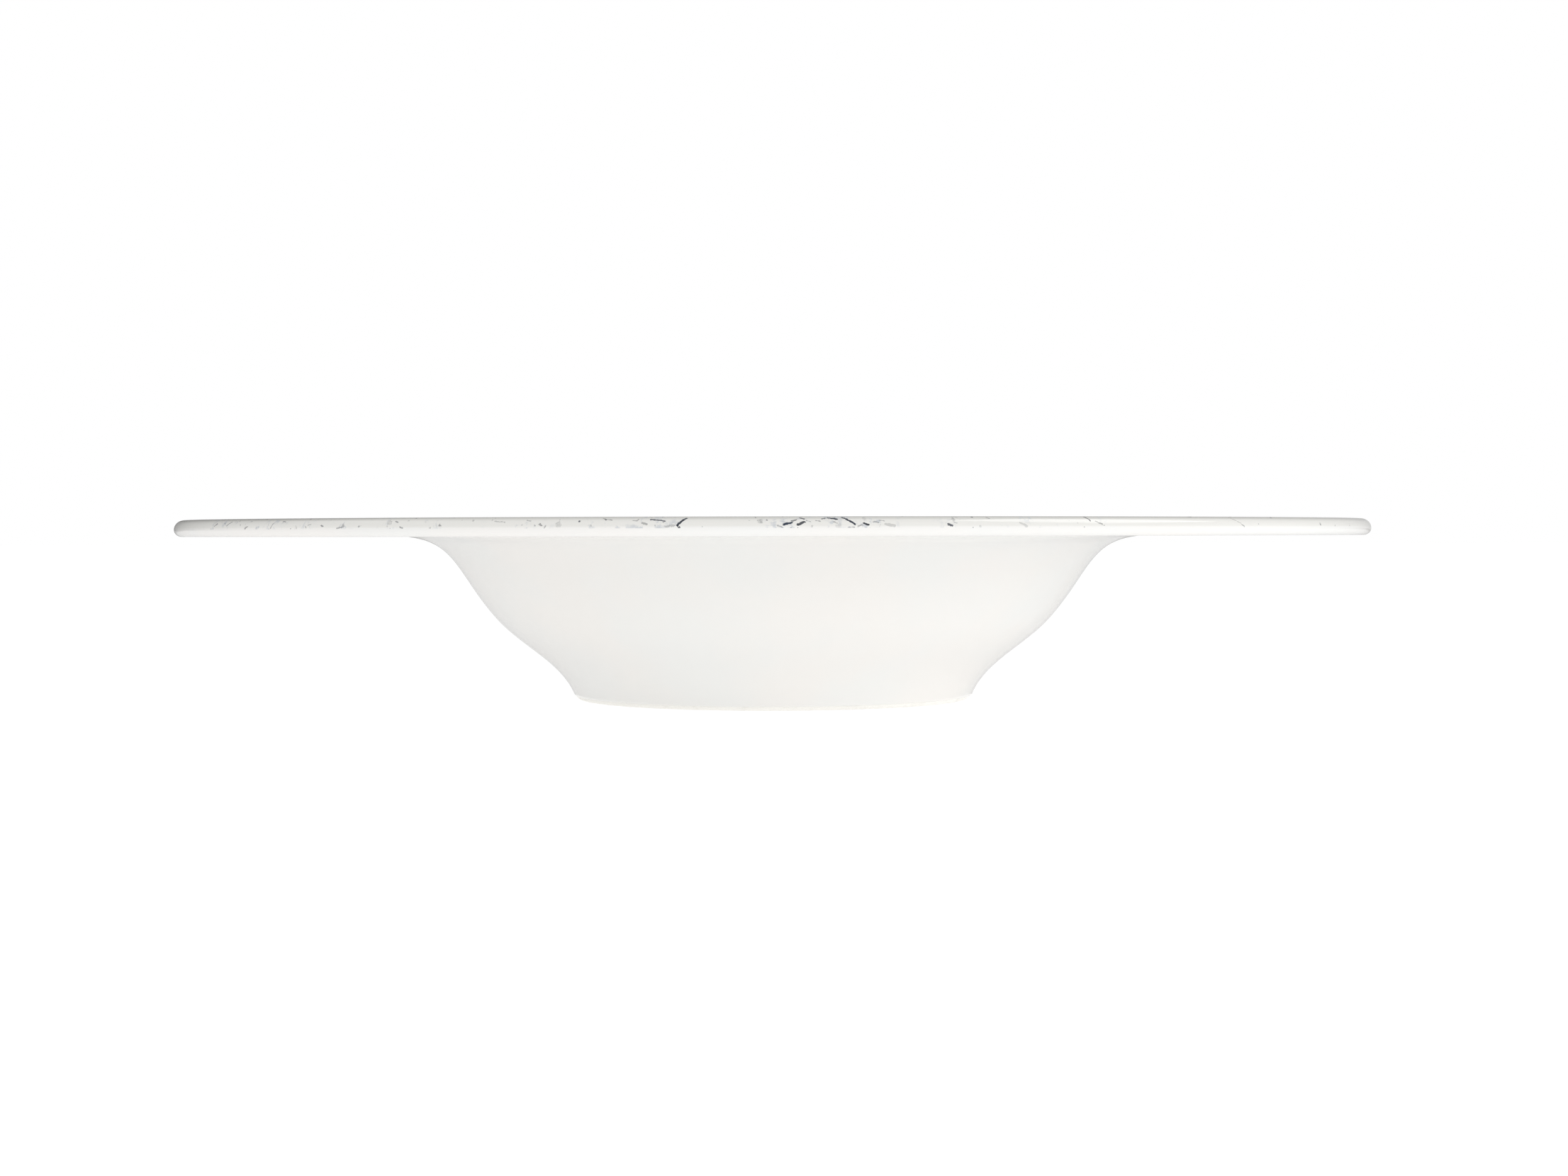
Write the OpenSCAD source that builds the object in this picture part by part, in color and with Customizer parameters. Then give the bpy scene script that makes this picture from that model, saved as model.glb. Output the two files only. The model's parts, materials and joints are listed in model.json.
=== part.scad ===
// Wide-rimmed deep plate of glazed porcelain, such as pasta is served on.
// Each outline lies in a half plane, as [distance from the axis, height], and is turned about +Z.
// The origin is the centre of the standing ring, on the table.
// The skin is the outer surface of the glaze. Under it lies the clay body, one glaze thickness deep.

/* [Plate] */
// Outside diameter of the rim
plate_d = 280; // [240:1:330]
// Height of the rim above the table
plate_h = 42.7; // [38:0.1:52]

/* [Rim] */
// Thickness of the rim at its lip
lip_t = 3.75; // [3:0.05:5.5]
// How far the upper rounding of the lip reaches in from its edge
lip_upper_w = 2.3; // [2:0.1:5]
// How far the lower rounding of the lip reaches in from its edge
lip_lower_w = 1.7; // [1:0.1:4]
// How far the top of the rim falls from the lip to the verge
rim_fall = 0.5; // [0.1:0.1:1.5]
// Radius of the verge, where the rim turns down into the well
verge_r = 8; // [4:0.5:12]

/* [Bowl] */
// Diameter at which the bowl leaves the flat underside of the rim
neck_d = 180; // [165:1:195]
// Thickness of the wall of the bowl
wall_t = 4.2; // [3:0.1:6]
// Thickness of the floor, from the recess to the well
floor_t = 4.9; // [3.5:0.1:6.5]
// Slope of the wall at its belly, in degrees from level
belly_slope = 49; // [40:1:56]

/* [Foot] */
// Outside diameter of the foot at the line where its glaze stops
foot_d = 95; // [85:1:105]
// Slope of the wall at that line, in degrees from level
foot_slope = 68; // [55:0.5:75]
// Height of that line above the table
bare_h = 0.9; // [0.5:0.1:1.4]
// Width of the flat ring that the plate stands on
ring_w = 3; // [2:0.1:5]
// Height of the recess inside the foot
recess_h = 3.2; // [2.4:0.1:4.5]
// Radius of the corner of the recess
recess_r = 2.5; // [1:0.1:4]
// Slope of the recess's side, in degrees from level
recess_slope = 65; // [50:1:75]

/* [Glaze] */
// Thickness of the glaze
glaze_t = 0.3; // [0.15:0.05:0.5]

/* [Hidden] */

// Where the belly lies on the way from the foot to the neck, outwards and upwards
belly_place_shares = [0.443, 0.494];
// How far the curve pulls from the ends of its lower half, as shares of that half's length
lower_pull_shares = [0.335, 0.355];
// The same for its upper half
upper_pull_shares = [0.48, 0.475];
// Share of the lip's thickness that lies below its widest line
lip_under_share = 0.42;
// How far up the upper half the well's wall runs beside it, before it goes straight to the verge
verge_leave_share = 0.35;
// How far up the lower half the curve of the well's floor meets its wall
floor_meet_share = 0.6;
// Share of the rim's width over which its top levels out at each end
rim_ease_share = 0.35;

// Steps along half of the bowl's wall, along a rounding, and round the axis
wall_steps = 12;
round_steps = 7;
turn_steps = 180;

// Unit vector along v, and the one square to it on its right
function unit(v) = v / norm(v);
function right_of(v) = unit([v[1], -v[0]]);
// Unit vector at an angle from level
function toward(angle) = [cos(angle), sin(angle)];

// A run is a list of [point, outward normal], taken with the clay on its left.
// Point and heading on a cubic curve with the control points p, at the share t of its way
function curve_point(p, t) =
    pow(1 - t, 3) * p[0] + 3 * pow(1 - t, 2) * t * p[1] + 3 * (1 - t) * t * t * p[2] + pow(t, 3) * p[3];
function curve_heading(p, t) =
    unit(pow(1 - t, 2) * (p[1] - p[0]) + 2 * (1 - t) * t * (p[2] - p[1]) + t * t * (p[3] - p[2]));
function curve_run(p, from = 0, to = 1, steps = wall_steps) =
    [for (i = [0 : steps]) let (t = from + (to - from) * i / steps)
        [curve_point(p, t), right_of(curve_heading(p, t))]];
// Arc of an ellipse between two angles. The side is 1 where it is full of clay and -1 where it is hollow.
function arc_run(centre, radii, from, to, side = 1) =
    [for (i = [0 : round_steps]) let (a = from + (to - from) * i / round_steps)
        [centre + [radii[0] * cos(a), radii[1] * sin(a)],
         side * unit([cos(a) / radii[0], sin(a) / radii[1]])]];
// The same wall seen from its other side, one thickness in
function other_side(run, thickness) = [for (s = run) [s[0] - thickness * s[1], -s[1]]];
// A run without its first point, which the run before it ends with
function after_first(run) = [for (i = [1 : len(run) - 1]) run[i]];
function without_ends(run) = [for (i = [1 : len(run) - 2]) run[i]];
function backwards(list) = [for (i = [len(list) - 1 : -1 : 0]) list[i]];
// Points of a run at a depth below the skin
function points_at(run, depth) = [for (s = run) s[0] - depth * s[1]];

// Outer wall of the bowl: two cubic curves that meet at the belly
foot_point = [foot_d / 2, bare_h];
neck_point = [neck_d / 2, plate_h - lip_t];
belly_rise = neck_point - foot_point;
belly_point = foot_point + [belly_place_shares[0] * belly_rise[0], belly_place_shares[1] * belly_rise[1]];
lower_len = norm(belly_point - foot_point);
upper_len = norm(neck_point - belly_point);
lower_half = [
    foot_point,
    foot_point + lower_pull_shares[0] * lower_len * toward(foot_slope),
    belly_point - lower_pull_shares[1] * lower_len * toward(belly_slope),
    belly_point,
];
upper_half = [
    belly_point,
    belly_point + upper_pull_shares[0] * upper_len * toward(belly_slope),
    neck_point - upper_pull_shares[1] * upper_len * toward(0),
    neck_point,
];

// Lip: a large rounding above its widest line and a small one below it
lip_under_h = lip_under_share * lip_t;
lip_over_h = lip_t - lip_under_h;
widest_h = plate_h - lip_over_h;
back_run = concat(
    curve_run(lower_half),
    after_first(curve_run(upper_half)),
    arc_run([plate_d / 2 - lip_lower_w, widest_h], [lip_lower_w, lip_under_h], 270, 360)
);

// Verge: an arc from the rim's top down to a straight stretch that runs into the parallel wall
verge_h = plate_h - rim_fall;
leave_heading = curve_heading(upper_half, verge_leave_share);
leave_slope = atan2(leave_heading[1], leave_heading[0]);
leave_point = curve_point(upper_half, verge_leave_share) - wall_t * right_of(leave_heading);
verge_end_h = verge_h - verge_r * (1 - cos(leave_slope));
verge_end_x = leave_point[0] + (verge_end_h - leave_point[1]) / tan(leave_slope);
verge_centre = [verge_end_x + verge_r * sin(leave_slope), verge_h - verge_r];

// Top of the rim: level at both ends, and lower at the verge
shoulder_point = [plate_d / 2 - lip_upper_w, plate_h];
verge_point = verge_centre + [0, verge_r];
rim_ease = rim_ease_share * (shoulder_point[0] - verge_point[0]);
rim_top = [shoulder_point, shoulder_point - [rim_ease, 0], verge_point + [rim_ease, 0], verge_point];
printed_run = concat(
    arc_run([shoulder_point[0], widest_h], [lip_upper_w, lip_over_h], 0, 90),
    after_first(curve_run(rim_top, steps = round_steps))
);

// Well: the verge, a wall parallel to the outer one, and a hollow curve into the flat floor
floor_h = recess_h + floor_t;
meet_heading = curve_heading(lower_half, floor_meet_share);
meet_slope = atan2(meet_heading[1], meet_heading[0]);
meet_point = curve_point(lower_half, floor_meet_share) - wall_t * right_of(meet_heading);
floor_curve_r = (meet_point[1] - floor_h) / (1 - cos(meet_slope));
floor_centre = [meet_point[0] - floor_curve_r * sin(meet_slope), floor_h + floor_curve_r];
upper_wall = other_side(curve_run(upper_half, verge_leave_share, 0), wall_t);
lower_wall = other_side(curve_run(lower_half, 1, floor_meet_share), wall_t);
floor_curve = arc_run(floor_centre, [floor_curve_r, floor_curve_r], 270 + meet_slope, 270, -1);
well_run = concat(
    arc_run(verge_centre, [verge_r, verge_r], 90, 90 + leave_slope),
    upper_wall,
    after_first(lower_wall),
    after_first(floor_curve),
    [[[0, floor_h], [0, 1]]]
);

// Bare standing ring: flat below, with a rounding on each side that runs up to the glaze
foot_clay = foot_point - glaze_t * right_of(toward(foot_slope));
outer_edge_r = foot_clay[1] / (1 - cos(foot_slope));
outer_edge = [foot_clay[0] - outer_edge_r * sin(foot_slope), outer_edge_r];
inner_edge_r = (bare_h + glaze_t * cos(recess_slope)) / (1 - cos(recess_slope));
inner_edge = [outer_edge[0] - ring_w, inner_edge_r];
ring_run = concat(
    arc_run(inner_edge, [inner_edge_r, inner_edge_r], 270 - recess_slope, 270),
    arc_run(outer_edge, [outer_edge_r, outer_edge_r], 270, 270 + foot_slope)
);

// Recess: a flat ceiling, a hollow corner that its height may limit, and a sloping side
recess_bare_x = inner_edge[0] - (inner_edge_r + glaze_t) * sin(recess_slope);
recess_corner_r = min(recess_r, (recess_h - bare_h) / (1 - cos(recess_slope)));
recess_side_h = recess_h - recess_corner_r * (1 - cos(recess_slope));
recess_side_x = recess_bare_x - (recess_side_h - bare_h) / tan(recess_slope);
recess_centre = [recess_side_x - recess_corner_r * sin(recess_slope), recess_h - recess_corner_r];
recess_run = concat(
    [[[0, recess_h], [0, -1]]],
    arc_run(recess_centre, [recess_corner_r, recess_corner_r], 90, 90 - recess_slope, -1),
    [[[recess_bare_x, bare_h], -toward(90 - recess_slope)]]
);

// A solid turned from an outline
module turned(outline) {
    rotate_extrude($fn = turn_steps) polygon(outline);
}

// A coat of glaze along a run of the skin
module coat(run) {
    turned(concat(points_at(run, 0), backwards(points_at(run, glaze_t))));
}

// Fired clay, bare only at the standing ring
module porcelain_body() {
    color([0.90, 0.88, 0.84])
    turned(concat(
        points_at(recess_run, glaze_t),
        points_at(without_ends(ring_run), 0),
        points_at(back_run, glaze_t),
        points_at(after_first(printed_run), glaze_t),
        points_at(after_first(well_run), glaze_t)
    ));
}

// Glaze of the underside, from the foot to the widest line of the lip
module back_glaze() {
    color([0.95, 0.95, 0.93]) coat(back_run);
}

// Glaze that holds the speckle print, from that line over the lip and the rim to the verge
module printed_rim_glaze() {
    color([0.86, 0.87, 0.88]) coat(printed_run);
}

// Plain glaze inside the bowl
module well_glaze() {
    color([0.97, 0.97, 0.95]) coat(well_run);
}

// Glaze inside the foot
module recess_glaze() {
    color([0.93, 0.93, 0.91]) coat(recess_run);
}

porcelain_body();
back_glaze();
printed_rim_glaze();
well_glaze();
recess_glaze();
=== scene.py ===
"""Looks of the wide-rimmed deep plate: its turned coats at full smoothness, the glaze, the speckle print,
the light and the camera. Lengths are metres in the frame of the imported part, and patterns millimetres."""

import json
import math
import random

import bpy
import numpy as np
from mathutils import Matrix, Vector


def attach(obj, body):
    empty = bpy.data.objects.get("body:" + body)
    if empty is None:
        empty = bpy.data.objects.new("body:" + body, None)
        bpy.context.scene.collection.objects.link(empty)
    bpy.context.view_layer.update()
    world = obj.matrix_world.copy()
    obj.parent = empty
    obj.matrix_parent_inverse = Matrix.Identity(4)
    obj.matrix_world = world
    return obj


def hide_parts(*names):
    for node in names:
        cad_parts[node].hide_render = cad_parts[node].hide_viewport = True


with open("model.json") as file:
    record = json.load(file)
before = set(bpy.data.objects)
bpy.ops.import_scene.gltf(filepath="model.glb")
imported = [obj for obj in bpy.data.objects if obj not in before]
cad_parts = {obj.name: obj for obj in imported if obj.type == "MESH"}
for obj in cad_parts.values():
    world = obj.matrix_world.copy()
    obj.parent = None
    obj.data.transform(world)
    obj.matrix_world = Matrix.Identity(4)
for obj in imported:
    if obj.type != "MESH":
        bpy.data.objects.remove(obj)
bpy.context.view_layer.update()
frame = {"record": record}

MM = 0.001


def colour(red, green, blue):
    """Linear colour from 8-bit screen values, by the sRGB curve."""
    shares = [c / 255 for c in (red, green, blue)]
    return tuple(c / 12.92 if c <= 0.04045 else ((c + 0.055) / 1.055) ** 2.4 for c in shares) + (1.0,)


# Sizes of the plate. They and the shares below are the same as in part.scad
plate_d, _, plate_h = frame["record"]["size"]["bbox_m"]
lip_t = 3.75 * MM
lip_upper_w = 2.3 * MM
lip_lower_w = 1.7 * MM
rim_fall = 0.5 * MM
verge_r = 8 * MM
neck_d = 180 * MM
wall_t = 4.2 * MM
floor_t = 4.9 * MM
belly_slope = 49
foot_d = 95 * MM
foot_slope = 68
bare_h = 0.9 * MM
ring_w = 3 * MM
recess_h = 3.2 * MM
recess_r = 2.5 * MM
recess_slope = 65
glaze_t = 0.3 * MM
belly_place_shares = (0.443, 0.494)
lower_pull_shares = (0.335, 0.355)
upper_pull_shares = (0.48, 0.475)
lip_under_share = 0.42
verge_leave_share = 0.35
floor_meet_share = 0.6
rim_ease_share = 0.35

# Fineness of the turned meshes
WALL_STEPS = 24
ROUND_STEPS = 10
RIM_STEPS = 24
FLAT_STEPS = 4
TURN_STEPS = 256
EDGE_STEPS = 4
CARD_STEPS = 96
# The inner side of a coat, which never shows, keeps one of this many points
INNER_SIDE_STEP = 3
# Points closer than this count as one
SAME_POINT = 0.001 * MM

# Camera: the photograph's size, its focal length, horizon and the plate's axis in its pixels, and how far
# from that axis and how high the camera stands
PHOTO_W = 2212
PHOTO_H = 1659
FOCAL_PIXELS = 3643
HORIZON_ROW = 751.5
AXIS_COLUMN = 1090.8
CAMERA_AWAY = 0.62
CAMERA_HEIGHT = 0.03965
SENSOR_WIDTH = 36
# Degrees by which the photograph's level leans up to the right
CAMERA_ROLL = 0.1

# Light: the world's strength as light, and softboxes with their place, side and power
LIGHT_AT_HORIZON = 0.88
LIGHT_OVERHEAD = 0.75
SOFTBOXES = [
    ("key_softbox", (0.9, -1.1, 0.3), 0.9, 3.3),
    ("right_softbox", (1.4, 0.1, 0.4), 0.9, 3.1),
    ("left_softbox", (-1.4, 0.1, 0.4), 0.9, 0.45),
]
# Softbox that only the glaze's gloss shows, above the plate's right
SHEEN_SOFTBOX = ("sheen_softbox", (0.75, -0.05, 1.05), 0.7, 3.8)
# Floor. It lies a hair under the standing ring, so that the two aren't in one plane
FLOOR_REACH = 8
FLOOR_DROP = 0.02 * MM
# Its tone, its own light as a light table, and how it shows: as a glow with a share of its shadows
FLOOR_TONE = 0.85
FLOOR_LIGHT = 0.38
FLOOR_GLOW = 0.9
SHADOW_STRENGTH = 0.2
# Grey cards that only reflections show: one lies round the foot, a hair above the floor, and the other is a
# wall round the plate, which pales to white from one height up to its top
CARD_LIFT = MM / 2
CARD_INNER = foot_d / 2 + MM
CARD_OUTER = 1.6
CARD_WALL_HEIGHT = 1.7
CARD_PALES_FROM = 0.9
FLOOR_CARD_TONE = 0.68
FLOOR_CARD_FAR_TONE = 0.3
# The floor card goes from its tone to its far one between these distances from the middle
FLOOR_CARD_FADE = (0.3, 0.9)
WALL_CARD_LEFT_TONE = 0.17
WALL_CARD_RIGHT_TONE = 0.5
WALL_CARD_SIDE_TONE = 0.65
# Behind the plate, the wall card goes from its left tone to its right one between this far left and this
# far right of the middle. The tone of its sides goes over to these between two distances behind the plate
CARD_TURN = 0.5
CARD_BACK = (0.1, 1.1)

# A pattern has a size in millimetres and follows a noise of 0 to 1. Its turn is the two values of the noise
# between which it goes from its first end to its second. Two kinds of noise have finer detail
RAGGED_NOISE = {"detail": 5.0, "roughness": 0.65}
GRAINY_NOISE = {"detail": 4.0, "roughness": 0.7}

# Glaze: its two colours, and its roughness where it is smoothest and least smooth
GLAZE_COOL = colour(240, 240, 238)
GLAZE_WARM = colour(242, 240, 237)
TONE_SIZE = 28
TONE_TURN = (0.35, 0.65)
GLAZE_ROUGHNESS = (0.08, 0.13)
SHEEN_SIZE = 9
SHEEN_TURN = (0.3, 0.7)
GLAZE_IOR = 1.5
RIPPLE_SIZE = 9
RIPPLE_RISE = 0.0004 * MM

# Upper rounding of the lip, where a thin wash of the print lies and painted shade greys it: its tone, and
# the greyer one of its crest, partly glaze run thin and partly a painted line of shade.
# Each starts, and both end, between two distances in millimetres, up and inwards from the lip's widest line
LIP_WASH_AND_SHADE_TONE = colour(232, 231, 227)
LIP_STARTS = (0.0, 0.6)
CREST_THIN_GLAZE_AND_SHADE_TONE = colour(206, 205, 200)
CREST_STARTS = (2.0, 3.2)
CREST_ENDS = (3.6, 5.0)

# Bare clay of the standing ring: a fine grain, and the grey of use
CLAY_LIGHT = colour(250, 249, 245)
CLAY_DARK = colour(243, 241, 236)
CLAY_ROUGHNESS = (0.62, 0.78)
GRAIN_SIZE = 0.35
GRAIN_TURN = (0.3, 0.7)
GRAIN_RISE = 0.02 * MM
CLAY_WORN = colour(226, 224, 219)
WEAR_SIZE = 5.0
WEAR_TURN = (0.5, 0.75)
WEAR_STRENGTH = 0.5

# Print: patches of two inks, and a thin wash that starts and is full at two densities of the speckle
INK_BLUE = colour(34, 46, 66)
INK_GREY = colour(50, 54, 60)
INK_SIZE = 6.0
INK_TURN = (0.4, 0.6)
WASH_BLUE = colour(184, 190, 198)
WASH_STRENGTH = 0.6
WASH_SIZE = 1.2
WASH_TURN = (0.48, 0.62)
WASH_DENSITIES = (0.08, 0.7)
# The speckle gathers in patches: its share in the gaps between them and in the thick of them
GATHER_SIZE = 3.2
GATHER_TURN = (0.42, 0.62)
GATHER_SHARES = (0.15, 1.4)
# Ink that ran thin is paler in grains: how strong the palest are in flecks and in strokes
FLECK_GRAIN_SIZE = 0.5
STROKE_GRAIN_SIZE = 1.0
THIN_TURN = (0.35, 0.6)
PALEST_IN_FLECK = 0.45
PALEST_IN_STROKE = 0.6
# Strokes of the brush: the square that each has, its half width, and the share of the squares that have one
# where the print is densest. Long ones lie outside the clusters too, as if the print were this dense there
LONG_STROKES = (13.0, 0.22, 0.75)
SHORT_STROKES = (4.5, 0.2, 0.45)
STROKES_EVERYWHERE = 0.3
# The room that a stroke's middle has, the shortest and longest half length, and the size and reach of the
# waves that bend it, as shares of its square. The softness of its edge is in millimetres
STROKE_ROOM = 0.4
STROKE_REACHES = (0.1, 0.42)
STROKE_WAVES = (1 / 2, 1 / 8)
STROKE_EDGE = 0.05
# Strokes pale as they get longer, down to this strength at this share of the longest
PALEST_STROKE = 0.6
STROKE_PALES_TO = 0.7
# Flecks: the cell that each has, the share of the cells that have one where the print is densest, strength
BLOTS = (2.4, 0.45, 0.6)
FLECKS = (1.1, 0.4, 1.0)
FINE_FLECKS = (0.6, 0.3, 0.8)
# The smallest and largest radius of a fleck, how far its edge goes outwards and inwards, and the size and
# reach of the waves that bend it, as shares of its cell
FLECK_RADII = (0.12, 0.4)
FLECK_EDGE = (0.06, -0.04)
FLECK_WAVES = (1 / 2, 1 / 4)
PALEST_FLECK = 0.3
# Marks that are listed below: the waves that bend them, and their ragged and soft edges
MARK_WAVES = (0.7, 0.25)
RAGGED_SIZE = 0.4
RAGGEDNESS = 0.4
MARK_EDGE = 0.07
# Layers on the mesh that hold how dense the speckle is, and how many of the random strokes are kept
SPECKLE_LAYER = "speckle_density"
STROKE_LAYER = "stroke_share"
SPECKLE_SEED = 11
# Width of the band of full print from the edge inwards, and of the next one, in which the print thins out
PRINT_WIDTH = 42 * MM
PRINT_FADE = 14 * MM
DUST_EVERYWHERE = 0.05
# Random clusters of speckle: how many there are, their spread in millimetres, and their strength
OTHER_CLUSTERS = 90
CLUSTER_SPREADS = (3, 16)
CLUSTER_STRENGTHS = (0.25, 1.0)
# The photograph shows the lip as far as this many degrees from its front. Random clusters keep this many
# times their spread away from that part, and random strokes set in over this many radians beyond it
PHOTOGRAPHED_ANGLE = 75
CLUSTER_CLEARANCE = 2
STROKES_SET_IN = 0.1
# Clusters of speckle that the photograph shows on the lip: degrees from the front, spread in millimetres,
# strength
FRONT_CLUSTERS = [
    (-56, 8, 0.5),
    (-50, 7, 0.35),
    (-45, 9, 0.45),
    (-39, 6, 0.4),
    (-34, 8, 0.3),
    (-29, 7, 0.35),
    (-21, 5, 0.3),
    (-18.5, 4, 0.35),
    (-13, 4, 0.5),
    (-9.3, 4, 0.95),
    (1.4, 4, 1.0),
    (4.4, 3, 0.8),
    (7.6, 4, 0.75),
    (14, 4, 0.3),
    (20.5, 5, 0.6),
    (26, 4, 0.3),
]
# Marks there that stand out: start and end, in millimetres along the lip from its front and up and inwards
# from its widest line, half width in millimetres, strength
FRONT_MARKS = [
    ((-17.9, 0.6), (-16.3, 2.9), 0.25, 1.0),
    ((13.0, 3.2), (15.2, 0.9), 0.24, 1.0),
    ((62.3, 3.4), (63.1, 1.8), 0.18, 0.9),
    ((64.2, 1.6), (66.0, 0.4), 0.15, 0.5),
    ((100.0, 3.2), (103.4, 0.2), 0.1, 0.45),
    ((2.1, 0.8), (3.4, 1.3), 0.3, 1.0),
    ((4.7, 0.8), (5.8, 1.5), 0.3, 0.95),
    ((5.1, 3.0), (5.9, 2.4), 0.24, 0.85),
    ((10.4, 3.0), (11.9, 2.4), 0.28, 1.0),
    ((8.0, 2.0), (8.7, 1.7), 0.16, 0.5),
    ((17.1, 1.1), (17.8, 0.7), 0.28, 1.0),
    ((20.0, 2.1), (20.8, 1.8), 0.15, 0.45),
    ((33.2, 0.8), (33.9, 0.5), 0.26, 0.85),
    ((41.0, 3.1), (41.6, 2.7), 0.16, 0.6),
    ((-23.0, 2.4), (-20.4, 1.9), 0.24, 0.85),
    ((-20.2, 0.3), (-18.6, 0.6), 0.26, 0.35),
    ((-32.3, 2.8), (-31.7, 2.4), 0.17, 0.75),
    ((-44.9, 0.9), (-44.4, 0.6), 0.17, 0.55),
    ((-54.4, 1.9), (-52.2, 1.6), 0.16, 0.35),
    ((-97.4, 0.9), (-96.7, 0.6), 0.18, 0.65),
    ((-110.6, 2.4), (-109.4, 2.0), 0.16, 0.45),
    ((47.7, 1.1), (49.0, 0.4), 0.25, 0.25),
    ((-24.6, 1.3), (-23.7, 0.9), 0.22, 0.5),
    ((-26.4, 2.1), (-25.6, 1.9), 0.17, 0.5),
    ((0.9, 0.5), (1.6, 0.2), 0.17, 0.45),
    ((3.5, 1.7), (4.3, 2.2), 0.2, 0.7),
    ((6.3, 1.9), (6.9, 1.6), 0.16, 0.5),
    ((9.2, 2.6), (9.8, 2.9), 0.22, 0.75),
    ((11.3, 1.5), (11.9, 1.2), 0.16, 0.4),
    ((16.0, 0.4), (16.6, 0.6), 0.17, 0.45),
    ((18.9, 1.5), (19.6, 1.3), 0.22, 0.4),
    ((21.2, 0.8), (22.7, 0.5), 0.32, 0.28),
    ((34.4, 1.3), (34.9, 1.1), 0.14, 0.4),
    ((-140.0, 0.9), (-138.6, 1.5), 0.18, 0.5),
    ((-133.2, 1.0), (-131.6, 2.2), 0.18, 0.5),
    ((-124.5, 0.1), (-123.3, 0.7), 0.18, 0.55),
    ((-114.2, 0.2), (-113.4, 1.7), 0.15, 0.45),
    ((-101.4, 0.9), (-100.6, 1.2), 0.15, 0.4),
    ((-92.6, 0.1), (-91.2, 0.4), 0.16, 0.5),
    ((-86.8, 0.5), (-86.0, 0.7), 0.15, 0.4),
    ((-77.3, 2.1), (-76.8, 1.7), 0.17, 0.55),
    ((-75.9, 0.4), (-75.3, 0.1), 0.17, 0.55),
    ((-47.6, 2.2), (-46.8, 2.0), 0.16, 0.4),
    ((-31.4, 2.4), (-30.6, 2.2), 0.14, 0.5),
]


def unit(v):
    return v / np.hypot(*v)


def right_of(v):
    """Normal on the right of a heading."""
    return unit(np.array([v[1], -v[0]]))


def toward(angle):
    """Direction at an angle in degrees."""
    return np.array([math.cos(math.radians(angle)), math.sin(math.radians(angle))])


def at(x, z):
    return np.array([x, z], float)


def curve_point(p, t):
    """Point of a cubic curve with the control points p, at the share t of its way."""
    s = 1 - t
    return s**3 * p[0] + 3 * s**2 * t * p[1] + 3 * s * t**2 * p[2] + t**3 * p[3]


def curve_heading(p, t):
    s = 1 - t
    return unit(s**2 * (p[1] - p[0]) + 2 * s * t * (p[2] - p[1]) + t**2 * (p[3] - p[2]))


def slope_of(heading):
    """Angle of a heading in degrees."""
    return math.degrees(math.atan2(heading[1], heading[0]))


def curve_run(p, start=0.0, end=1.0, steps=WALL_STEPS):
    """A run is a list of (point, outward normal), taken with the clay on its left."""
    shares = np.linspace(start, end, steps + 1)
    return [(curve_point(p, t), right_of(curve_heading(p, t))) for t in shares]


def line_run(a, b, steps=FLAT_STEPS):
    normal = right_of(b - a)
    return [(a + (b - a) * t, normal) for t in np.linspace(0, 1, steps + 1)]


def arc_run(centre, radii, start, end, side=1):
    """Arc of an ellipse between two angles. The side is 1 where it is full of clay, and -1 where hollow."""
    radii = np.array(radii, float)
    return [
        (centre + radii * toward(a), side * unit(toward(a) / radii))
        for a in np.linspace(start, end, ROUND_STEPS + 1)
    ]


def other_side(run, thickness):
    return [(p - thickness * n, -n) for p, n in run]


def joined(*runs):
    """Runs end to end, with a point that two of them share taken once."""
    whole = []
    for p, n in (s for run in runs for s in run):
        if not whole or np.hypot(*(p - whole[-1][0])) > SAME_POINT:
            whole.append((p, n))
    return whole


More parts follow.
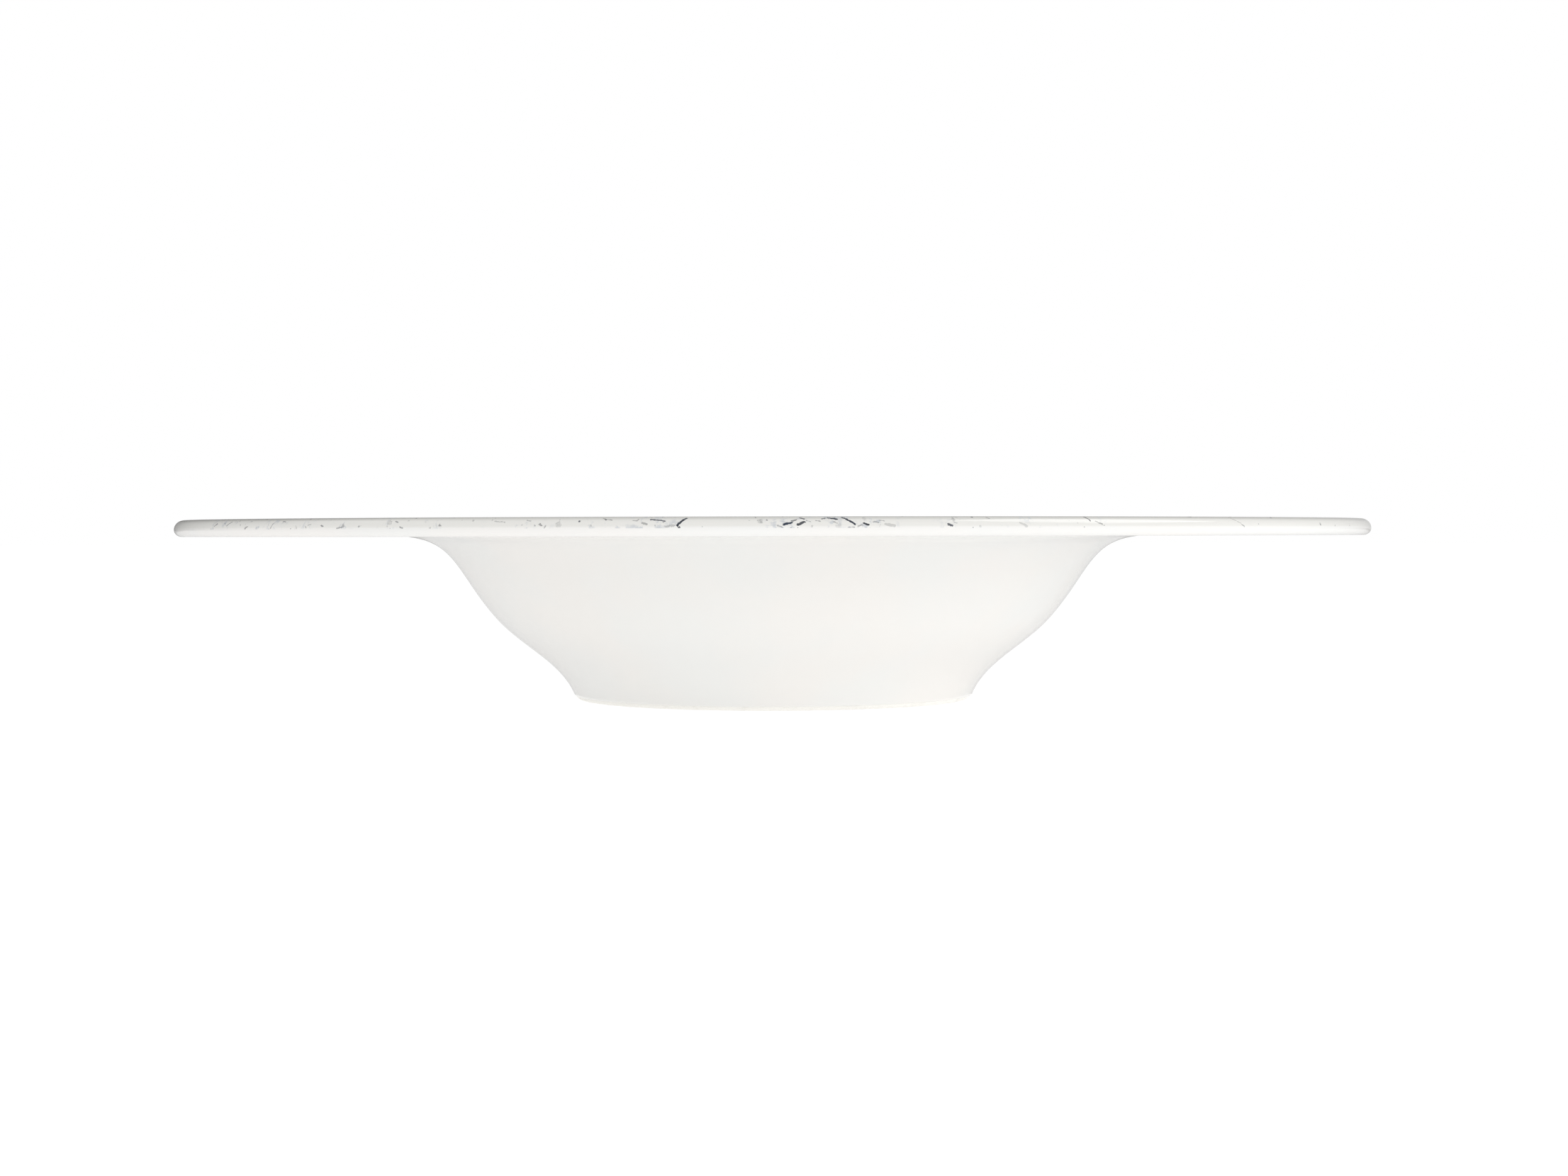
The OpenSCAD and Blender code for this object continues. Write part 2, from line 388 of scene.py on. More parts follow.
def plate_runs():
    """The skin of each coat and of the bare ring, from the sizes above."""
    foot = at(foot_d / 2, bare_h)
    neck = at(neck_d / 2, plate_h - lip_t)
    belly = foot + np.array(belly_place_shares) * (neck - foot)
    lower_len, upper_len = np.hypot(*(belly - foot)), np.hypot(*(neck - belly))
    lower = (
        foot,
        foot + lower_pull_shares[0] * lower_len * toward(foot_slope),
        belly - lower_pull_shares[1] * lower_len * toward(belly_slope),
        belly,
    )
    upper = (
        belly,
        belly + upper_pull_shares[0] * upper_len * toward(belly_slope),
        neck - upper_pull_shares[1] * upper_len * toward(0),
        neck,
    )
    under_h = lip_under_share * lip_t
    over_h = lip_t - under_h
    widest_h = plate_h - over_h
    lip_centre = at(plate_d / 2 - lip_lower_w, widest_h)
    back = joined(
        curve_run(lower),
        curve_run(upper),
        line_run(neck, lip_centre - at(0, under_h)),
        arc_run(lip_centre, (lip_lower_w, under_h), 270, 360),
    )

    verge_h = plate_h - rim_fall
    heading = curve_heading(upper, verge_leave_share)
    slope = slope_of(heading)
    leave = curve_point(upper, verge_leave_share) - wall_t * right_of(heading)
    end_h = verge_h - verge_r * (1 - math.cos(math.radians(slope)))
    end_x = leave[0] + (end_h - leave[1]) / math.tan(math.radians(slope))
    verge_centre = at(end_x + verge_r * math.sin(math.radians(slope)), verge_h - verge_r)
    shoulder = at(plate_d / 2 - lip_upper_w, plate_h)
    verge = verge_centre + at(0, verge_r)
    ease = at(rim_ease_share * (shoulder[0] - verge[0]), 0)
    printed = joined(
        arc_run(at(shoulder[0], widest_h), (lip_upper_w, over_h), 0, 90),
        curve_run((shoulder, shoulder - ease, verge + ease, verge), steps=RIM_STEPS),
    )

    floor_h = recess_h + floor_t
    heading = curve_heading(lower, floor_meet_share)
    meet_slope = slope_of(heading)
    meet = curve_point(lower, floor_meet_share) - wall_t * right_of(heading)
    curve_r = (meet[1] - floor_h) / (1 - math.cos(math.radians(meet_slope)))
    floor_centre = at(meet[0] - curve_r * math.sin(math.radians(meet_slope)), floor_h + curve_r)
    wall_top = at(end_x, end_h)
    well = joined(
        arc_run(verge_centre, (verge_r, verge_r), 90, 90 + slope),
        line_run(wall_top, leave),
        other_side(curve_run(upper, verge_leave_share, 0), wall_t),
        other_side(curve_run(lower, 1, floor_meet_share), wall_t),
        arc_run(floor_centre, (curve_r, curve_r), 270 + meet_slope, 270, -1),
        line_run(at(floor_centre[0], floor_h), at(0, floor_h)),
    )

    clay = foot - glaze_t * right_of(toward(foot_slope))
    outer_r = clay[1] / (1 - math.cos(math.radians(foot_slope)))
    outer = at(clay[0] - outer_r * math.sin(math.radians(foot_slope)), outer_r)
    cos_side = math.cos(math.radians(recess_slope))
    sin_side = math.sin(math.radians(recess_slope))
    inner_r = (bare_h + glaze_t * cos_side) / (1 - cos_side)
    inner = at(outer[0] - ring_w, inner_r)
    ring = joined(
        arc_run(inner, (inner_r, inner_r), 270 - recess_slope, 270),
        arc_run(outer, (outer_r, outer_r), 270, 270 + foot_slope),
    )

    bare_x = inner[0] - (inner_r + glaze_t) * sin_side
    side_h = recess_h - recess_r * (1 - cos_side)
    side_x = bare_x - (side_h - bare_h) / math.tan(math.radians(recess_slope))
    corner = at(side_x - recess_r * sin_side, recess_h - recess_r)
    recess = joined(
        line_run(at(0, recess_h), at(corner[0], recess_h)),
        arc_run(corner, (recess_r, recess_r), 90, 90 - recess_slope, -1),
        line_run(at(side_x, side_h), at(bare_x, bare_h)),
    )
    return {"back": back, "printed": printed, "well": well, "recess": recess, "ring": ring}


def below_skin(run, depth, keep_every=1):
    """The run at a depth below the skin, with fewer points where nothing shows."""
    kept = [s for i, s in enumerate(run) if i % keep_every == 0 or i == len(run) - 1]
    return [(p - depth * n, n) for p, n in kept]


def turned_mesh(name, runs):
    """Closed mesh turned from an outline of runs, each of which starts where the one before it ends.
    Its shading keeps the runs' own normals, so it is smooth along a run and sharp between two."""
    angles = np.arange(TURN_STEPS) * 2 * math.pi / TURN_STEPS
    around = np.stack([np.cos(angles), np.sin(angles)], 1)
    after = np.roll(np.arange(TURN_STEPS), -1)
    verts, faces, normals = [], [], []
    outline = [p for run in runs for p, _ in run[:-1]]

    def swept(v):
        return np.column_stack([v[0] * around, np.full(TURN_STEPS, v[1])])

    rings = []
    for p in outline:
        start = len(verts)
        if p[0] < SAME_POINT:
            verts.append((0.0, 0.0, p[1]))
            rings.append(np.full(TURN_STEPS, start))
        else:
            verts.extend(map(tuple, swept(p)))
            rings.append(np.arange(start, start + TURN_STEPS))
    first = 0
    for run in runs:
        for step in range(len(run) - 1):
            a = rings[first + step]
            b = rings[(first + step + 1) % len(rings)]
            na, nb = swept(run[step][1]), swept(run[step + 1][1])
            if a[0] == a[1] and b[0] == b[1]:
                continue
            if a[0] == a[1]:
                corners, sides = [a, b[after], b], [na, nb[after], nb]
            elif b[0] == b[1]:
                corners, sides = [a, a[after], b], [na, na[after], nb]
            else:
                corners, sides = [a, a[after], b[after], b], [na, na[after], nb[after], nb]
            faces.extend(np.stack(corners, 1).tolist())
            normals.append(np.stack(sides, 1).reshape(-1, 3))
        first += len(run) - 1
    mesh = bpy.data.meshes.new(name)
    mesh.from_pydata(verts, [], faces)
    mesh.polygons.foreach_set("use_smooth", [True] * len(faces))
    mesh.normals_split_custom_set(np.concatenate(normals).tolist())
    mesh.update()
    return mesh


def rounded_edge(end, along):
    """Quarter round that brings a glaze down to the clay where it stops. It runs from the clay to the skin,
    and along points back over the glaze."""
    p, n = end
    clay = p - glaze_t * n
    angles = np.radians(np.linspace(0, 90, EDGE_STEPS + 1))
    return [
        (
            clay + glaze_t * ((1 - math.cos(a)) * along + math.sin(a) * n),
            math.sin(a) * n - math.cos(a) * along,
        )
        for a in angles
    ]


def coat(run, bare_start=False, bare_end=False):
    """The runs round a coat of glaze: its skin, one end, its inner side and the other end.
    An end that the bare clay follows is rounded, and the others are cut square against the next coat."""
    skin = list(run)
    inner = [(p, -n) for p, n in reversed(below_skin(run, glaze_t, keep_every=INNER_SIDE_STEP))]
    if bare_start:
        edge = rounded_edge(skin[0], unit(skin[1][0] - skin[0][0]))
        skin = [edge[-1]] + skin[1:]
        start_runs = [edge]
    else:
        start_runs = [line_run(inner[-1][0], skin[0][0], 1)]
    if bare_end:
        edge = rounded_edge(skin[-1], unit(skin[-2][0] - skin[-1][0]))[::-1]
        skin = skin[:-1] + [edge[0]]
        end_runs = [edge]
    else:
        end_runs = [line_run(skin[-1][0], inner[0][0], 1)]
    return [skin] + end_runs + [inner] + start_runs


def clay_body(runs):
    """The runs round the clay, one glaze thickness under every coat and bare at the standing ring."""
    names = ("recess", "ring", "back", "printed", "well")
    sides = [runs[n] if n == "ring" else below_skin(runs[n], glaze_t) for n in names]
    return sides + [line_run(sides[-1][-1][0], sides[0][0][0], 1)]


def piece(name, runs, material, node):
    """One turned piece of the plate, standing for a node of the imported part."""
    obj = bpy.data.objects.new(name, turned_mesh(name, runs))
    bpy.context.scene.collection.objects.link(obj)
    obj.data.materials.append(material)
    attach(obj, "root")
    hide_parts(node)
    return obj


# Materials. Their patterns lie in the plate's own frame, so they are the same from every side


class Graph:
    """A node tree, with short calls that each make a node and give its result."""

    def __init__(self, tree):
        self.tree = tree
        tree.nodes.clear()

    def node(self, kind, inputs=None, **settings):
        made = self.tree.nodes.new(kind)
        for key, value in settings.items():
            setattr(made, key, value)
        for key, value in (inputs or {}).items():
            if isinstance(value, bpy.types.NodeSocket):
                self.tree.links.new(value, made.inputs[key])
            else:
                made.inputs[key].default_value = value
        return made

    def math(self, operation, *values, clamp=False):
        return self.node(
            "ShaderNodeMath", dict(enumerate(values)), operation=operation, use_clamp=clamp
        ).outputs[0]

    def vector(self, operation, *values, result="Vector"):
        return self.node(
            "ShaderNodeVectorMath", dict(enumerate(values)), operation=operation
        ).outputs[result]

    def scaled(self, vector, factor):
        return self.node(
            "ShaderNodeVectorMath", {"Vector": vector, "Scale": factor}, operation="SCALE"
        ).outputs["Vector"]

    def product(self, *values):
        result = values[0]
        for value in values[1:]:
            result = self.math("MULTIPLY", result, value)
        return result

    def fade(self, value, start, end, low=0.0, high=1.0):
        """Goes smoothly from low to high while the value goes from start to end."""
        inputs = {"Value": value, "From Min": start, "From Max": end, "To Min": low, "To Max": high}
        return self.node("ShaderNodeMapRange", inputs, interpolation_type="SMOOTHSTEP").outputs[0]

    def noise(self, where, size, detail=2.0, roughness=0.5, result="Fac"):
        inputs = {"Vector": where, "Scale": 1 / size, "Detail": detail, "Roughness": roughness}
        return self.node("ShaderNodeTexNoise", inputs).outputs[result]

    def warped(self, where, size, reach):
        """The place, moved about by no more than the reach, in waves of the given size."""
        drift = self.vector("SUBTRACT", self.noise(where, size, result="Color"), (0.5, 0.5, 0.5))
        return self.vector("ADD", where, self.scaled(drift, 2 * reach))

    def mix(self, share, first, second):
        """Colour between two. The node takes them at its sockets 6 and 7."""
        return self.node(
            "ShaderNodeMix", {0: share, 6: first, 7: second}, data_type="RGBA"
        ).outputs[2]

    def place(self):
        """Place on the plate in millimetres."""
        return self.scaled(self.node("ShaderNodeTexCoord").outputs["Object"], 1 / MM)

    def attribute(self, name):
        return self.node("ShaderNodeAttribute", attribute_name=name).outputs["Fac"]

    def lit_surface(self, tone, light):
        """A matt grey surface that also gives light of its own."""
        matt = self.node("ShaderNodeBsdfDiffuse", {"Color": (tone, tone, tone, 1)}).outputs[0]
        glow = self.node("ShaderNodeEmission", {"Color": (1, 1, 1, 1), "Strength": light}).outputs[0]
        return self.node("ShaderNodeAddShader", {0: matt, 1: glow}).outputs[0]

    def finish(self, base, roughness, height, rise, **uniform):
        """Ends a material in its shader. The rise is how far the height stands up, in metres."""
        bump = self.node("ShaderNodeBump", {"Height": height, "Distance": rise}).outputs[0]
        inputs = {"Base Color": base, "Roughness": roughness, "Normal": bump, **uniform}
        shader = self.node("ShaderNodeBsdfPrincipled", inputs)
        self.node("ShaderNodeOutputMaterial", {"Surface": shader.outputs[0]})


def new_material(name):
    material = bpy.data.materials.new(name)
    material.use_nodes = True
    return material, Graph(material.node_tree)


def glaze_base(g, where):
    """The white of the glaze: cool and warm patches so faint that they only take away its flatness."""
    tone = g.noise(where, TONE_SIZE, detail=3.0)
    return g.mix(g.fade(tone, *TONE_TURN), GLAZE_COOL, GLAZE_WARM)


def glaze_surface(g, where):
    """Roughness and height of the glaze, which is smooth to the touch but not quite a mirror."""
    sheen = g.noise(where, SHEEN_SIZE, detail=3.0)
    return g.fade(sheen, *SHEEN_TURN, *GLAZE_ROUGHNESS), g.noise(where, RIPPLE_SIZE, detail=1.0)


def white_glaze():
    material, g = new_material("white_glaze")
    where = g.place()
    roughness, ripple = glaze_surface(g, where)
    g.finish(glaze_base(g, where), roughness, ripple, RIPPLE_RISE, IOR=GLAZE_IOR)
    return material


def chances(g, colour_of_cell):
    """Three random shares that each cell of a pattern keeps."""
    return g.node("ShaderNodeSeparateColor", {0: colour_of_cell}).outputs


def cell_noise(g, cell, shift):
    """Random colour of a cell. Another shift gives it another one."""
    cell = g.vector("ADD", cell, (shift, shift, shift))
    return g.node("ShaderNodeTexWhiteNoise", {"Vector": cell}).outputs["Color"]


def strokes(g, here, kind, amount):
    """Short strokes that taper at both ends, each in a square of its own, with its own slant and length."""
    size, half_width, share = kind
    bent = g.warped(here, *(size * wave for wave in STROKE_WAVES))
    here = g.vector("MULTIPLY", bent, (1 / size, 1 / size, 0.0))
    cell = g.vector("FLOOR", here)
    chance = chances(g, cell_noise(g, cell, 0.0))
    there = g.math("LESS_THAN", chance[0], g.product(amount, share))
    stray = g.vector("SUBTRACT", cell_noise(g, cell, 0.5), (0.5, 0.5, 0.5))
    middle = g.vector("ADD", g.scaled(stray, STROKE_ROOM), (0.5, 0.5, 0.0))
    from_middle = g.vector("SUBTRACT", g.vector("SUBTRACT", here, cell), middle)
    right, up, _ = g.node("ShaderNodeSeparateXYZ", {0: g.scaled(from_middle, size)}).outputs
    slant = g.product(chance[1], math.tau)
    cos, sin = g.math("COSINE", slant), g.math("SINE", slant)
    along = g.math("ADD", g.product(right, cos), g.product(up, sin))
    across = g.math("ABSOLUTE", g.math("SUBTRACT", g.product(up, cos), g.product(right, sin)))
    half_length = g.fade(chance[2], 0.0, 1.0, *(size * reach for reach in STROKE_REACHES))
    way = g.math("DIVIDE", along, half_length)
    width = g.product(half_width, g.math("SUBTRACT", 1.0, g.product(way, way)))
    line = g.fade(g.math("SUBTRACT", across, width), STROKE_EDGE, -STROKE_EDGE)
    return g.product(there, line, g.fade(chance[2], 0.0, STROKE_PALES_TO, 1.0, PALEST_STROKE))


def flecks(g, where, kind, amount):
    """Ragged dots, as many as the amount asks for, each with its own size and strength."""
    size, share, strength = kind
    bent = g.warped(where, *(size * wave for wave in FLECK_WAVES))
    cells = g.node("ShaderNodeTexVoronoi", {"Vector": bent, "Scale": 1 / size})
    chance = chances(g, cells.outputs["Color"])
    there = g.math("LESS_THAN", chance[0], g.product(amount, share))
    radius = g.fade(g.product(chance[1], chance[1]), 0.0, 1.0, *FLECK_RADII)
    dot = g.fade(g.math("SUBTRACT", cells.outputs["Distance"], radius), *FLECK_EDGE)
    return g.product(there, dot, g.fade(chance[2], 0.0, 1.0, PALEST_FLECK, 1.0), strength)


def lip_place(g, where):
    """Place on the lip: how far along it from the front, and how far up and inwards from its widest line.
    A step inwards counts as much as a step up."""
    x, y, z = g.node("ShaderNodeSeparateXYZ", {0: where}).outputs
    along = g.math("MULTIPLY", g.math("ARCTAN2", x, g.math("MULTIPLY", y, -1.0)), plate_d / 2 / MM)
    outward = g.node("ShaderNodeCombineXYZ", {"X": x, "Y": y}).outputs[0]
    inward = g.math("SUBTRACT", plate_d / 2 / MM, g.vector("LENGTH", outward, result="Value"))
    upward = g.math("SUBTRACT", z, (plate_h - lip_t * (1 - lip_under_share)) / MM)
    over = g.math("ADD", inward, upward)
    return g.node("ShaderNodeCombineXYZ", {"X": along, "Y": over}).outputs[0]


def front_marks(g, where, here):
    """The marks that show on the front of the lip, each a stroke from one place to another."""
    here = g.warped(here, *MARK_WAVES)
    ragged = g.math("SUBTRACT", g.noise(where, RAGGED_SIZE, detail=3.0), 0.5)
    ragged = g.product(ragged, RAGGEDNESS)
    ink = 0.0
    for start, end, half_width, strength in FRONT_MARKS:
        start, end = Vector((*start, 0)), Vector((*end, 0))
        step = end - start
        ahead = g.vector("SUBTRACT", here, tuple(start))
        passed = g.vector("DOT_PRODUCT", ahead, tuple(step), result="Value")
        share = g.math("DIVIDE", passed, step.length_squared, clamp=True)
        gap = g.vector("DISTANCE", ahead, g.scaled(tuple(step), share), result="Value")
        edges = (half_width + MARK_EDGE, half_width - MARK_EDGE)
        ink = g.math("MAXIMUM", ink, g.fade(g.math("ADD", gap, ragged), *edges, 0.0, strength))
    return ink


def print_ink(g, where, here):
    """Share of ink at a place: random flecks and strokes, and the listed marks of the lip's front."""
    density, kept = g.attribute(SPECKLE_LAYER), g.attribute(STROKE_LAYER)
    patches = g.noise(where, GATHER_SIZE)
    gathered = g.product(density, g.fade(patches, *GATHER_TURN, *GATHER_SHARES))
    fleck = 0.0
    for kind in (BLOTS, FLECKS, FINE_FLECKS):
        fleck = g.math("MAXIMUM", fleck, flecks(g, where, kind, gathered))
    spread = g.product(g.math("ADD", density, STROKES_EVERYWHERE), kept)
    long_strokes = strokes(g, here, LONG_STROKES, spread)
    short_strokes = strokes(g, here, SHORT_STROKES, g.product(density, kept))
    stroke = g.math("MAXIMUM", long_strokes, short_strokes)
    # Ink that ran thin is paler in grains, but the listed marks keep the strength that they are listed with
    fleck_grain = g.noise(where, FLECK_GRAIN_SIZE, detail=3.0)
    stroke_grain = g.noise(where, STROKE_GRAIN_SIZE, detail=3.0)
    fleck = g.product(fleck, g.fade(fleck_grain, *THIN_TURN, PALEST_IN_FLECK, 1.0))
    stroke = g.product(stroke, g.fade(stroke_grain, *THIN_TURN, PALEST_IN_STROKE, 1.0))
    ink = g.math("MAXIMUM", g.math("MAXIMUM", fleck, stroke), front_marks(g, where, here))
    return ink, gathered


def lip_base(g, where, here):
    """The white of the glaze, greyer on the lip's upper rounding for the thin wash and painted shade, and
    greyer still at its crest for glaze run thin and painted shade.
    """
    over = g.node("ShaderNodeSeparateXYZ", {0: here}).outputs[1]
    plain = glaze_base(g, where)
    # Painted shade, with a thin wash of the print: the lip's upper rounding greys, and its crest, where the
    # glaze also runs thin, greys more
    shaded_lip = g.mix(g.fade(over, *LIP_STARTS), plain, LIP_WASH_AND_SHADE_TONE)
    shaded_lip = g.mix(g.fade(over, *CREST_STARTS), shaded_lip, CREST_THIN_GLAZE_AND_SHADE_TONE)
    return g.mix(g.fade(over, *CREST_ENDS), shaded_lip, plain)


def speckled_glaze():
    """Glaze over a sparse print in two blue greys, with a thin wash where its flecks gather."""
    material, g = new_material("speckled_glaze")
    where = g.place()
    here = lip_place(g, where)
    ink, gathered = print_ink(g, where, here)
    thin = g.fade(g.noise(where, WASH_SIZE, **RAGGED_NOISE), *WASH_TURN, 0.0, WASH_STRENGTH)
    wash = g.math("MULTIPLY", thin, g.fade(gathered, *WASH_DENSITIES), clamp=True)
    tint = g.mix(g.fade(g.noise(where, INK_SIZE), *INK_TURN), INK_BLUE, INK_GREY)
    roughness, ripple = glaze_surface(g, where)
    base = g.mix(ink, g.mix(wash, lip_base(g, where, here), WASH_BLUE), tint)
    g.finish(base, roughness, ripple, RIPPLE_RISE, IOR=GLAZE_IOR)
    return material


def bare_clay():
    """Fired clay without glaze: matt, a little warmer, with a fine grain and some grey of use."""
    material, g = new_material("bare_clay")
    where = g.place()
    grain = g.noise(where, GRAIN_SIZE, **GRAINY_NOISE)
    wear = g.noise(where, WEAR_SIZE, **RAGGED_NOISE)
    worn = g.fade(wear, *WEAR_TURN, 0.0, WEAR_STRENGTH)
    base = g.mix(worn, g.mix(g.fade(grain, *GRAIN_TURN), CLAY_DARK, CLAY_LIGHT), CLAY_WORN)
    g.finish(base, g.fade(grain, *GRAIN_TURN, *CLAY_ROUGHNESS), grain, GRAIN_RISE)
    return material


def spread_speckle(mesh):
    """Writes on each vertex how dense the speckle is there, and how many of the random strokes are kept.
    They stay off the part of the lip that the photograph shows, where the listed marks are."""
    draw = random.Random(SPECKLE_SEED)
    clusters = [(math.radians(a), plate_d / 2, w * MM, s) for a, w, s in FRONT_CLUSTERS]
    while len(clusters) < len(FRONT_CLUSTERS) + OTHER_CLUSTERS:
        angle = draw.uniform(-math.pi, math.pi)
        reach = draw.uniform(plate_d / 2 - PRINT_WIDTH, plate_d / 2)
        width, strength = draw.uniform(*CLUSTER_SPREADS) * MM, draw.uniform(*CLUSTER_STRENGTHS)
        in_front = abs(angle) < math.radians(PHOTOGRAPHED_ANGLE)
        on_lip = reach > plate_d / 2 - CLUSTER_CLEARANCE * width
        if not (in_front and on_lip):
            clusters.append((angle, reach, width, strength))
    centres = np.array([(r * math.sin(a), -r * math.cos(a)) for a, r, _, _ in clusters])
    widths = np.array([c[2] for c in clusters])
    strengths = np.array([c[3] for c in clusters])
    places = np.array([v.co for v in mesh.vertices])
    gaps = np.linalg.norm(places[:, None, :2] - centres[None], axis=2) / widths
    density = np.clip((strengths * np.exp(-(gaps**2))).sum(1), 0, 1)
    spread = np.hypot(places[:, 0], places[:, 1])
    fading = np.clip((spread - (plate_d / 2 - PRINT_WIDTH - PRINT_FADE)) / PRINT_FADE, 0, 1)
    inward = np.clip((plate_d / 2 - spread - lip_upper_w) / lip_upper_w, 0, 1)
    turned = np.abs(np.arctan2(places[:, 0], -places[:, 1]))
    at_side = np.clip((turned - math.radians(PHOTOGRAPHED_ANGLE)) / STROKES_SET_IN, 0, 1)
    layers = {
        SPECKLE_LAYER: (DUST_EVERYWHERE + (1 - DUST_EVERYWHERE) * density) * fading,
        STROKE_LAYER: np.maximum(inward, at_side) * fading,
    }
    for name, values in layers.items():
        mesh.attributes.new(name, "FLOAT", "POINT").data.foreach_set("value", values.astype(np.float32))


# The studio. Everything below stands round the plate and isn't part of it


def linked(name, data):
    obj = bpy.data.objects.new(name, data)
    bpy.context.scene.collection.objects.link(obj)
    return obj


def is_background_ray(g):
    """1 for the rays that show the background: from the camera, off a gloss or through glass."""
    rays = g.node("ShaderNodeLightPath").outputs
    seen = g.math("MAXIMUM", rays["Is Camera Ray"], rays["Is Glossy Ray"])
    return g.math("MAXIMUM", seen, rays["Is Transmission Ray"])


def make_floor():
    """Plain pale floor. It shows white with the plate's shadow faint on it, and it is clear from below."""
    mesh = bpy.data.meshes.new("floor")
    sides = ((-1, -1), (1, -1), (1, 1), (-1, 1))
    corners = [(x * FLOOR_REACH, y * FLOOR_REACH, -FLOOR_DROP) for x, y in sides]
    mesh.from_pydata(corners, [], [(0, 1, 2, 3)])
    floor = linked("floor", mesh)
    material, g = new_material("floor")
    as_light = g.lit_surface(FLOOR_TONE, FLOOR_LIGHT)
    as_shown = g.lit_surface(FLOOR_TONE * SHADOW_STRENGTH, FLOOR_GLOW)
    mixed = g.node("ShaderNodeMixShader", {0: is_background_ray(g), 1: as_light, 2: as_shown}).outputs[0]
    below = g.node("ShaderNodeNewGeometry").outputs["Backfacing"]
    clear = g.node("ShaderNodeBsdfTransparent").outputs[0]
    one_sided = g.node("ShaderNodeMixShader", {0: below, 1: mixed, 2: clear}).outputs[0]
    g.node("ShaderNodeOutputMaterial", {"Surface": one_sided})
    mesh.materials.append(material)


def floor_card_tone(g, place):
    away = g.vector("LENGTH", place, result="Value")
    return g.fade(away, *FLOOR_CARD_FADE, FLOOR_CARD_TONE, FLOOR_CARD_FAR_TONE)


def wall_card_tone(g, place):
    right, back, height = g.node("ShaderNodeSeparateXYZ", {0: place}).outputs
    back_tone = g.fade(right, -CARD_TURN, CARD_TURN, WALL_CARD_LEFT_TONE, WALL_CARD_RIGHT_TONE)
    low_tone = g.fade(back, *CARD_BACK, WALL_CARD_SIDE_TONE, back_tone)
    return g.fade(height, CARD_PALES_FROM, CARD_WALL_HEIGHT, low_tone, 1.0)


def make_card(name, rings, tone_at):
    """Card that only reflections show: a band that goes round the plate, from one ring to another.
    The glaze mirrors it where it turns away, which draws a thin grey outline of white on white."""
    angles = np.arange(CARD_STEPS) * 2 * math.pi / CARD_STEPS
    verts = [(r * math.cos(a), r * math.sin(a), z) for r, z in rings for a in angles]
    steps = [(k, (k + 1) % CARD_STEPS) for k in range(CARD_STEPS)]
    mesh = bpy.data.meshes.new(name)
    mesh.from_pydata(verts, [], [(a, b, b + CARD_STEPS, a + CARD_STEPS) for a, b in steps])
    card = linked(name, mesh)
    material, g = new_material(name)
    tone = tone_at(g, g.node("ShaderNodeTexCoord").outputs["Object"])
    g.node("ShaderNodeOutputMaterial", {"Surface": g.lit_surface(0.0, tone)})
    mesh.materials.append(material)
    for rays in ("camera", "diffuse", "transmission", "volume_scatter", "shadow"):
        setattr(card, "visible_" + rays, False)


def make_world():
    """White behind the plate. As light it is softer from above than from the side."""
    world = bpy.data.worlds.new("studio")
    bpy.context.scene.world = world
    world.use_nodes = True
    g = Graph(world.node_tree)
    direction = g.node("ShaderNodeTexCoord").outputs["Generated"]
    height = g.node("ShaderNodeSeparateXYZ", {0: direction}).outputs[2]
    level = g.fade(height, 0.0, 1.0, LIGHT_AT_HORIZON, LIGHT_OVERHEAD)
    light = g.node("ShaderNodeBackground", {"Color": (1, 1, 1, 1), "Strength": level}).outputs[0]
    white = g.node("ShaderNodeBackground", {"Color": (1, 1, 1, 1), "Strength": 1.0}).outputs[0]
    mixed = g.node("ShaderNodeMixShader", {0: is_background_ray(g), 1: light, 2: white}).outputs[0]
    g.node("ShaderNodeOutputWorld", {"Surface": mixed})


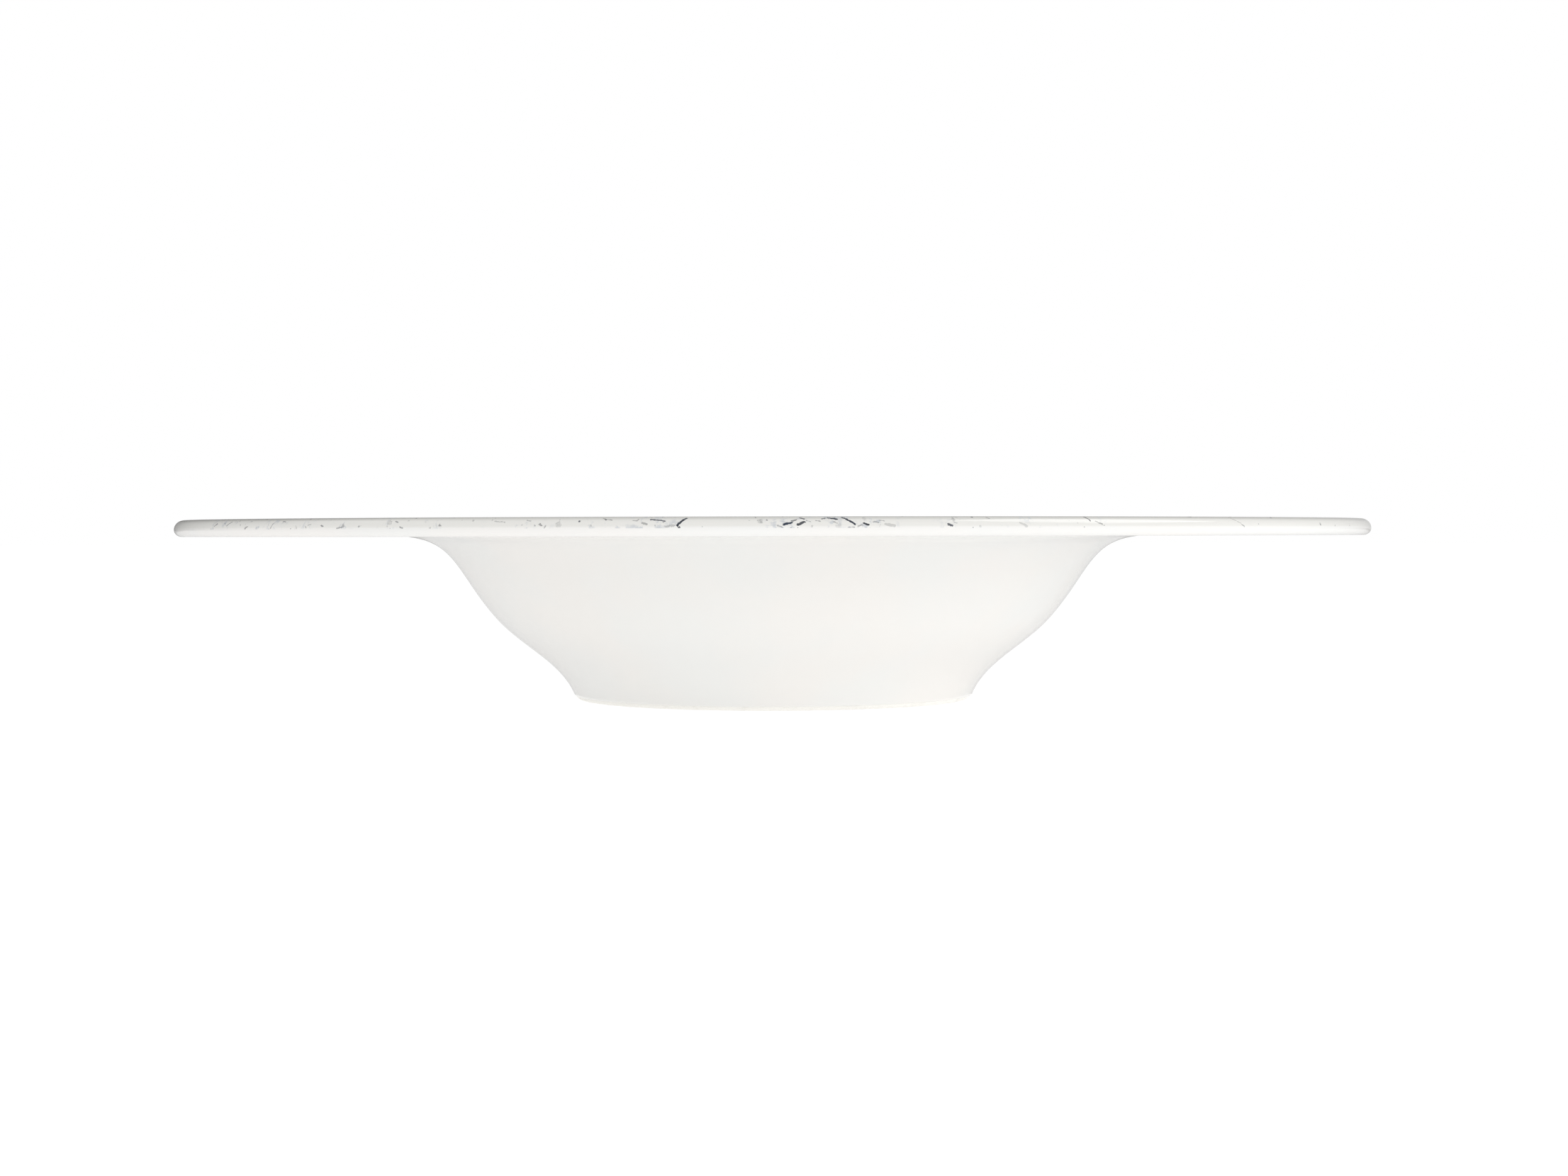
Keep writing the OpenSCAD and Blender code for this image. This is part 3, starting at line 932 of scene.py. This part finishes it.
def make_softbox(name, place, size, power, mirrored=False):
    """Square area light that faces the plate. It either lights the plate or is mirrored in its gloss, and
    not both, so that no bright patch burns out on the rim."""
    light = bpy.data.lights.new(name, "AREA")
    light.size = size
    light.energy = power
    softbox = linked(name, light)
    softbox.location = place
    softbox.visible_glossy = mirrored
    softbox.visible_diffuse = not mirrored
    to_plate = Vector((0, 0, plate_h / 2)) - softbox.location
    softbox.rotation_euler = to_plate.to_track_quat("-Z", "Y").to_euler()


def make_camera():
    """The photograph's viewpoint, from its focal length, its horizon and the plate's axis in it."""
    data = bpy.data.cameras.new("camera")
    data.sensor_width = SENSOR_WIDTH
    data.lens = FOCAL_PIXELS / PHOTO_W * data.sensor_width
    camera = linked("camera", data)
    down = math.atan((PHOTO_H / 2 - HORIZON_ROW) / FOCAL_PIXELS)
    right = math.atan((PHOTO_W / 2 - AXIS_COLUMN) / FOCAL_PIXELS)
    turn = Matrix.Rotation(-right, 4, "Z") @ Matrix.Rotation(math.pi / 2 - down, 4, "X")
    turn = turn @ Matrix.Rotation(-math.radians(CAMERA_ROLL), 4, "Z")
    camera.matrix_world = Matrix.Translation((0, -CAMERA_AWAY, CAMERA_HEIGHT)) @ turn
    bpy.context.scene.camera = camera


make_camera()
glaze, printed, clay = white_glaze(), speckled_glaze(), bare_clay()
runs = plate_runs()
piece("turned_clay_body", clay_body(runs), clay, "porcelain_body")
piece("back_glaze_coat", coat(runs["back"], bare_start=True), glaze, "back_glaze")
rim = piece("printed_rim_coat", coat(runs["printed"]), printed, "printed_rim_glaze")
piece("well_glaze_coat", coat(runs["well"]), glaze, "well_glaze")
piece("recess_glaze_coat", coat(runs["recess"], bare_end=True), glaze, "recess_glaze")
spread_speckle(rim.data)

make_floor()
make_card("floor_card", ((CARD_INNER, CARD_LIFT), (CARD_OUTER, CARD_LIFT)), floor_card_tone)
make_card("wall_card", ((CARD_OUTER, CARD_LIFT), (CARD_OUTER, CARD_WALL_HEIGHT)), wall_card_tone)
make_world()
for softbox in SOFTBOXES:
    make_softbox(*softbox)
make_softbox(*SHEEN_SOFTBOX, mirrored=True)
bpy.context.scene.view_settings.view_transform = "Standard"
